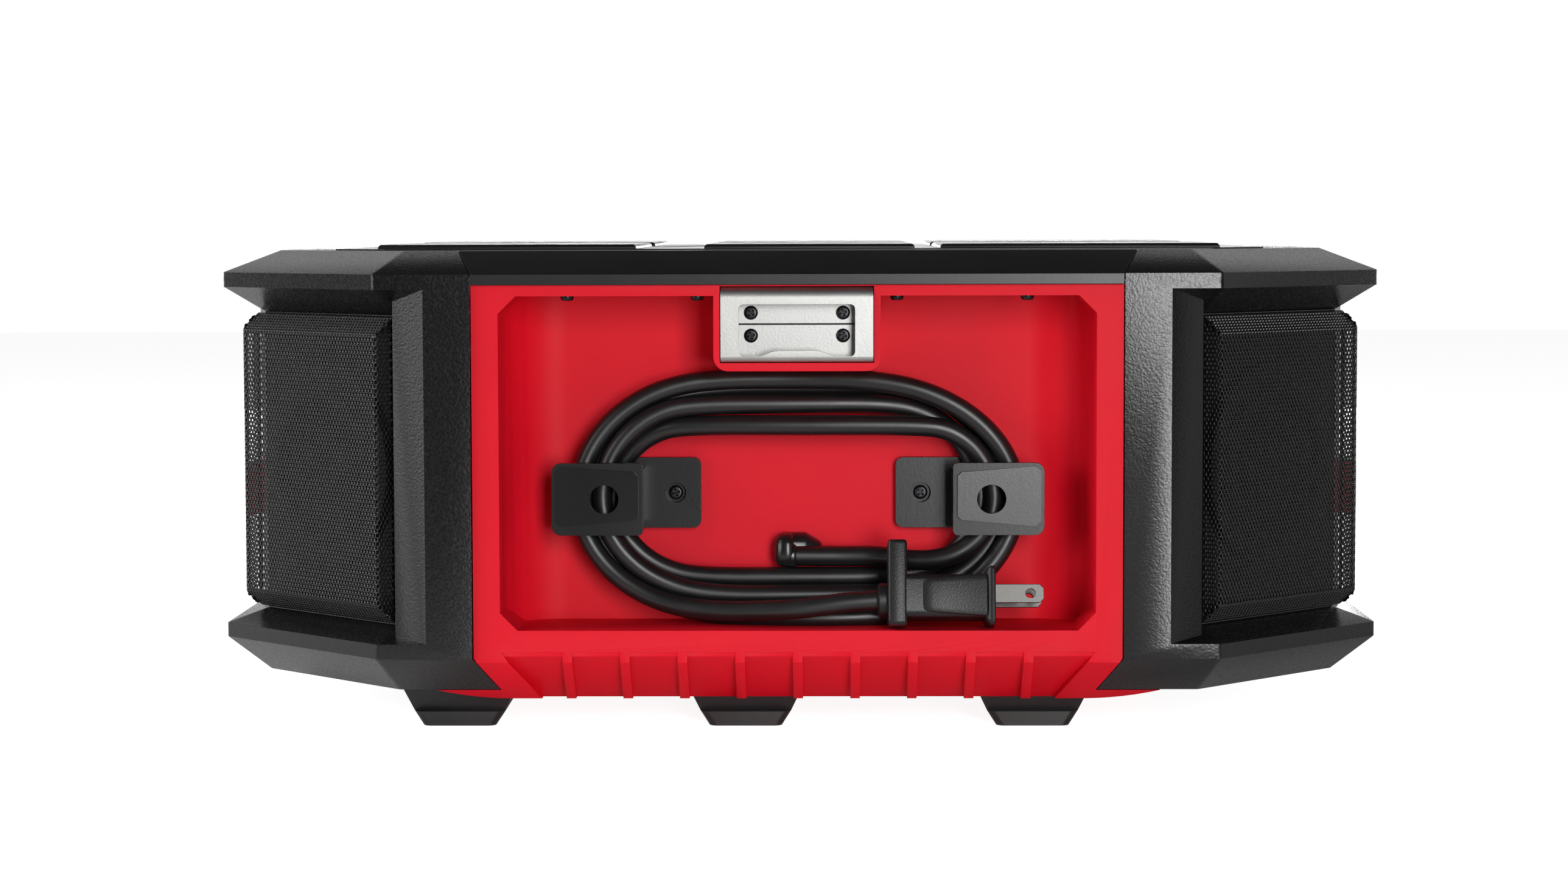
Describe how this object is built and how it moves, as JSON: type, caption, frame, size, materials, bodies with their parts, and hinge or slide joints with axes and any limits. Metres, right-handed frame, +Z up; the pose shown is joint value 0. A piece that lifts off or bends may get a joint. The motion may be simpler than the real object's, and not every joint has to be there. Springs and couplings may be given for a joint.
{
  "type": "jobsite radio",
  "caption": "Rugged stackable jobsite radio with corner speakers, rear cord wrap and bottle opener, front controls and a closed storage bay.",
  "frame": {"origin": "on the ground under the middle of the body, the feet's lowest plane", "axes": "+Z up, +X along the body's length, -Y towards the cord side, +Y towards the control side"},
  "size_m": [0.413, 0.3114, 0.1675],
  "materials": {
    "red_housing": "moulded, fine satin",
    "black_housing": "moulded, pebble grain",
    "red_trim": "moulded, satin",
    "hook_plastic": "moulded, fine grain",
    "black_screw": "black zinc",
    "foot_plastic": "moulded, satin",
    "grille_steel": "perforated, powder coated",
    "basket_steel": "stamped, black",
    "cone_paper": "treated paper",
    "magnet_iron": "ferrite",
    "opener_steel": "bead blasted",
    "gland_plastic": "moulded, satin",
    "cord_sheath": "smooth satin sheath",
    "plug_plastic": "grained",
    "plug_blade_nickel": "nickel plated",
    "panel_plastic": "moulded, fine grain",
    "lens_clear": "clear, polished",
    "display_dark": "glass over dark segments",
    "knob_plastic": "fluted, satin",
    "encoder_metal": "stamped",
    "power_key": "moulded, satin",
    "key_plastic": "moulded, satin",
    "board_green": "solder resist",
    "tray_plastic": "moulded, satin",
    "door_plastic": "moulded, pebble grain",
    "pin_steel": "drawn",
    "seal_rubber": "moulded",
    "supply_case": "folded sheet"
  },
  "bodies": {
    "base": {"center_shell": "red_housing", "left_end_shell": "black_housing", "right_end_shell": "black_housing", "top_cover": "black_housing", "side_grip_left": "red_trim", "side_grip_right": "red_trim", "cord_hook_left": "hook_plastic", "cord_hook_right": "hook_plastic", "grip_screws": "black_screw", "hook_screws": "black_screw", "cover_screws": "black_screw", "opener_screws": "black_screw", "foot_rear_left": "foot_plastic", "foot_rear_middle": "foot_plastic", "foot_rear_right": "foot_plastic", "foot_front_left": "foot_plastic", "foot_front_middle": "foot_plastic", "foot_front_right": "foot_plastic", "grille_rear_left": "grille_steel", "speaker_frame_rear_left": "basket_steel", "speaker_cone_rear_left": "cone_paper", "grille_rear_right": "grille_steel", "speaker_frame_rear_right": "basket_steel", "speaker_cone_rear_right": "cone_paper", "grille_front_left": "grille_steel", "speaker_frame_front_left": "basket_steel", "speaker_cone_front_left": "cone_paper", "grille_front_right": "grille_steel", "speaker_frame_front_right": "basket_steel", "speaker_cone_front_right": "cone_paper", "speaker_magnets": "magnet_iron", "opener_plate": "opener_steel", "cord_gland": "gland_plastic", "cord_lead_in": "cord_sheath", "cord_coil": "cord_sheath", "cord_lead_out": "cord_sheath", "plug_body": "plug_plastic", "plug_blades": "plug_blade_nickel", "front_panel": "panel_plastic", "latch_guide": "panel_plastic", "display_lens": "lens_clear", "display_module": "display_dark", "knob_encoder": "encoder_metal", "key_board": "board_green", "main_board": "board_green", "storage_tray": "tray_plastic", "charge_terminal": "tray_plastic", "door_hinge_pin": "pin_steel", "door_seal": "seal_rubber", "power_supply": "supply_case"},
    "knob": {"volume_knob": "knob_plastic"},
    "power_key": {"power_button": "power_key"},
    "key_1": {"key_1": "key_plastic"},
    "key_2": {"key_2": "key_plastic"},
    "key_3": {"key_3": "key_plastic"},
    "key_4": {"key_4": "key_plastic"},
    "door": {"storage_door": "door_plastic"},
    "door_latch": {"door_latch": "key_plastic"},
    "stack_latch": {"stack_latch": "red_trim"}
  },
  "joints": [
    {"name": "volume_turn", "type": "hinge", "parent": "base", "child": "knob", "pos_m": [-0.046, 0.1445, 0.1195], "axis": [0, -1, 0], "continuous": true},
    {"name": "power_press", "type": "slide", "parent": "base", "child": "power_key", "axis": [0, -1, 0], "range_m": [0, 0.0012], "stiffness_N_per_m": 800},
    {"name": "key_1_press", "type": "slide", "parent": "base", "child": "key_1", "axis": [0, -1, 0], "range_m": [0, 0.0012], "stiffness_N_per_m": 800},
    {"name": "key_2_press", "type": "slide", "parent": "base", "child": "key_2", "axis": [0, -1, 0], "range_m": [0, 0.0012], "stiffness_N_per_m": 800},
    {"name": "key_3_press", "type": "slide", "parent": "base", "child": "key_3", "axis": [0, -1, 0], "range_m": [0, 0.0012], "stiffness_N_per_m": 800},
    {"name": "key_4_press", "type": "slide", "parent": "base", "child": "key_4", "axis": [0, -1, 0], "range_m": [0, 0.0012], "stiffness_N_per_m": 800},
    {"name": "door_swing", "type": "hinge", "parent": "base", "child": "door", "pos_m": [0, 0.1465, 0.0856], "axis": [1, 0, 0], "range_deg": [0, 95]},
    {"name": "latch_slide", "type": "slide", "parent": "door", "child": "door_latch", "axis": [0, 0, 1], "range_m": [0, 0.003], "stiffness_N_per_m": 500},
    {"name": "stack_latch_slide", "type": "slide", "parent": "base", "child": "stack_latch", "axis": [0, 1, 0], "range_m": [0, 0.007], "stiffness_N_per_m": 400}
  ]
}
